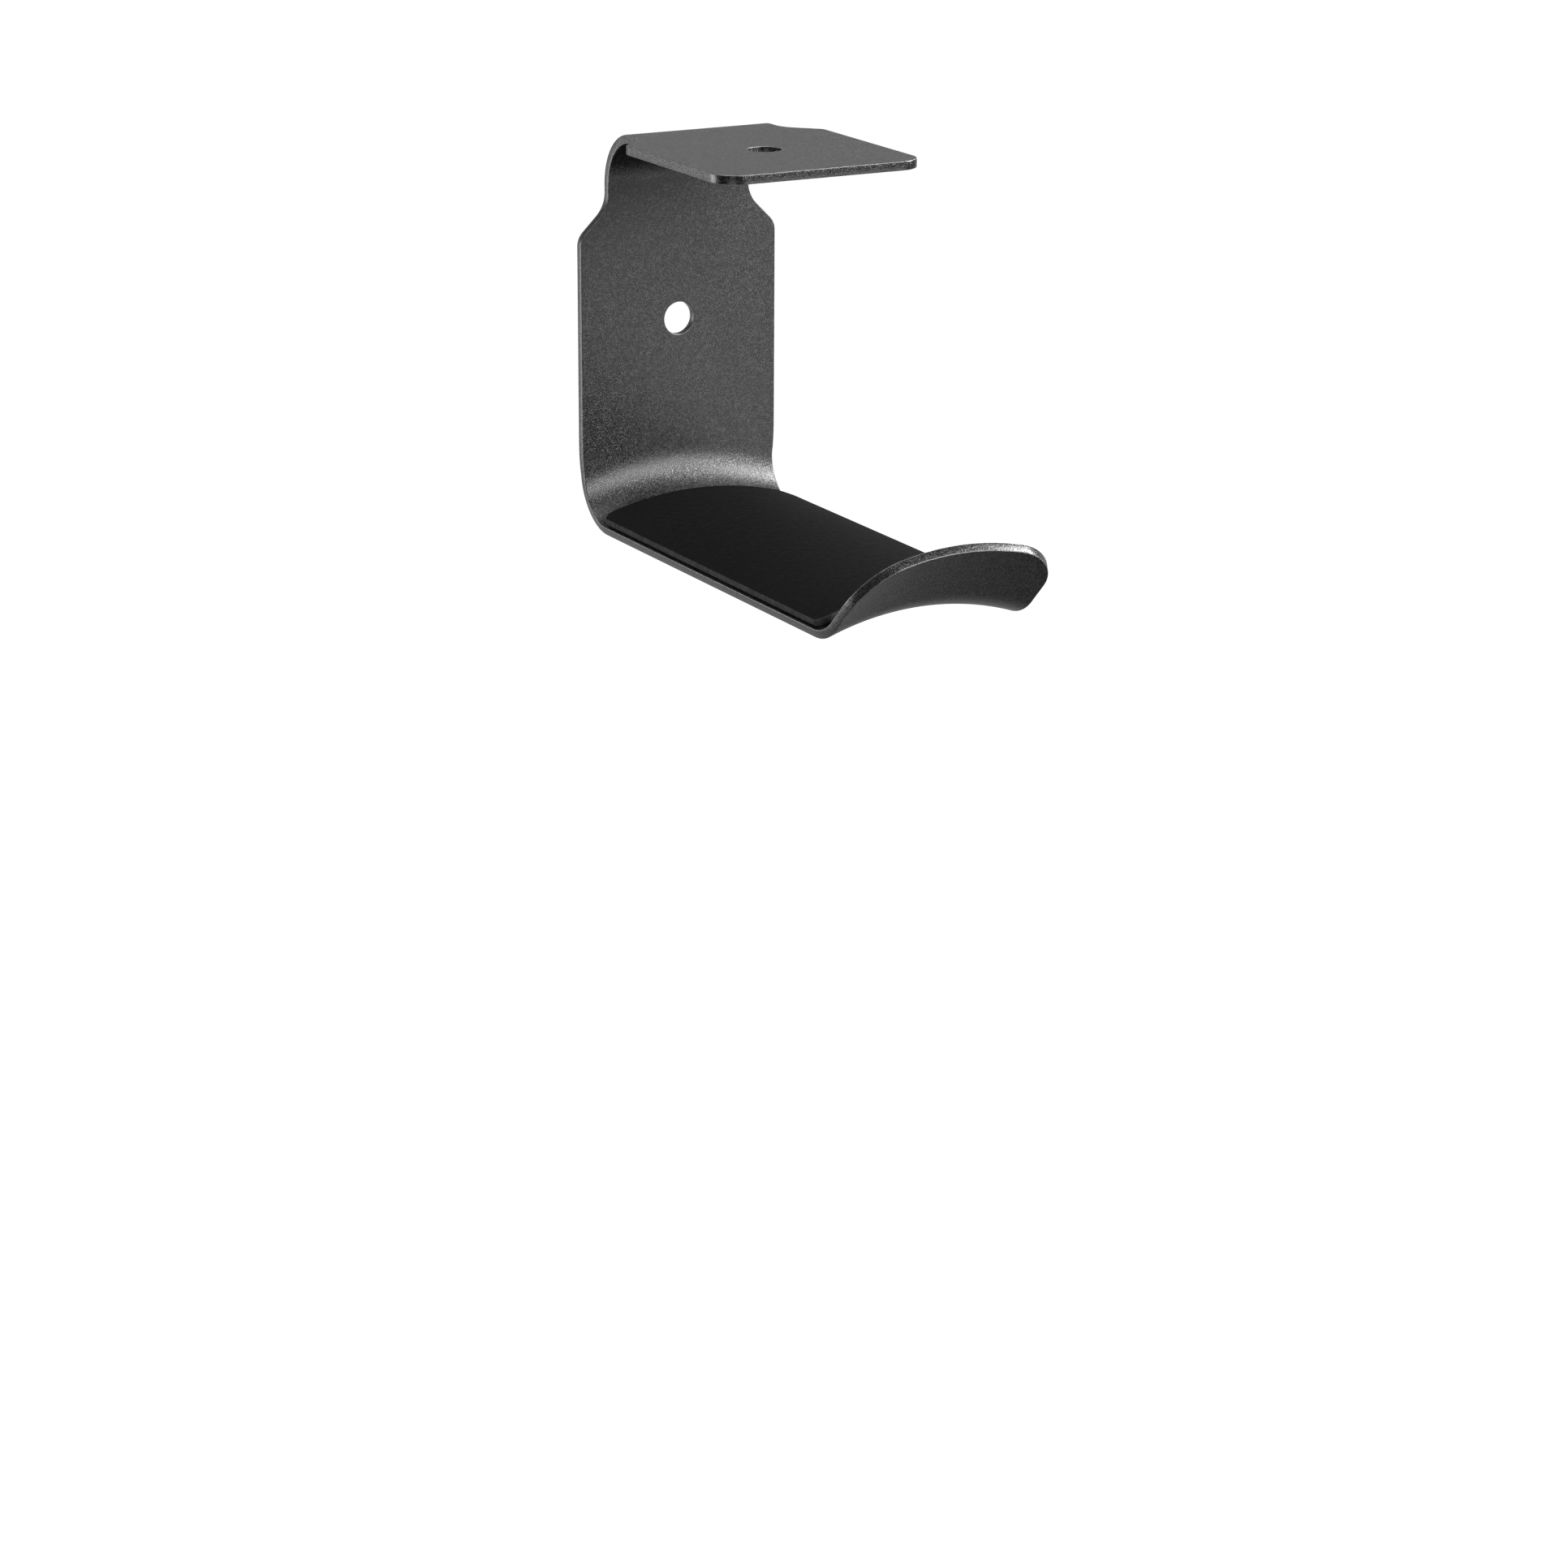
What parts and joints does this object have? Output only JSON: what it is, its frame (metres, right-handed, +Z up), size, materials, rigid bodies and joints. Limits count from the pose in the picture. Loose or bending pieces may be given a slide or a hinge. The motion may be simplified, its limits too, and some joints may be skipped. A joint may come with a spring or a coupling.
{
  "type": "headphone hook",
  "caption": "C-shaped bent steel headphone hook for under a desk or on a wall, with an arched, rubber-lined saddle and an upturned lip.",
  "frame": {"origin": "on the flange's desk face, on the centre line, 11 mm behind the flange's front edge and 11.1 mm in front of the centre of its screw hole", "axes": "+Z up, out of the desk face; +Y back, out of the back plate's rear face; the lip points to -Y; X runs across the width"},
  "size_m": [0.04, 0.1044, 0.0731],
  "materials": {
    "powder_coat": "satin black powder coat with a fine grain",
    "pad_rubber": "smooth matt black",
    "adhesive_film": "matt black double-sided film"
  },
  "bodies": {
    "root": {"bracket": "powder_coat", "saddle_pad": "pad_rubber", "pad_adhesive": "adhesive_film"}
  },
  "joints": []
}
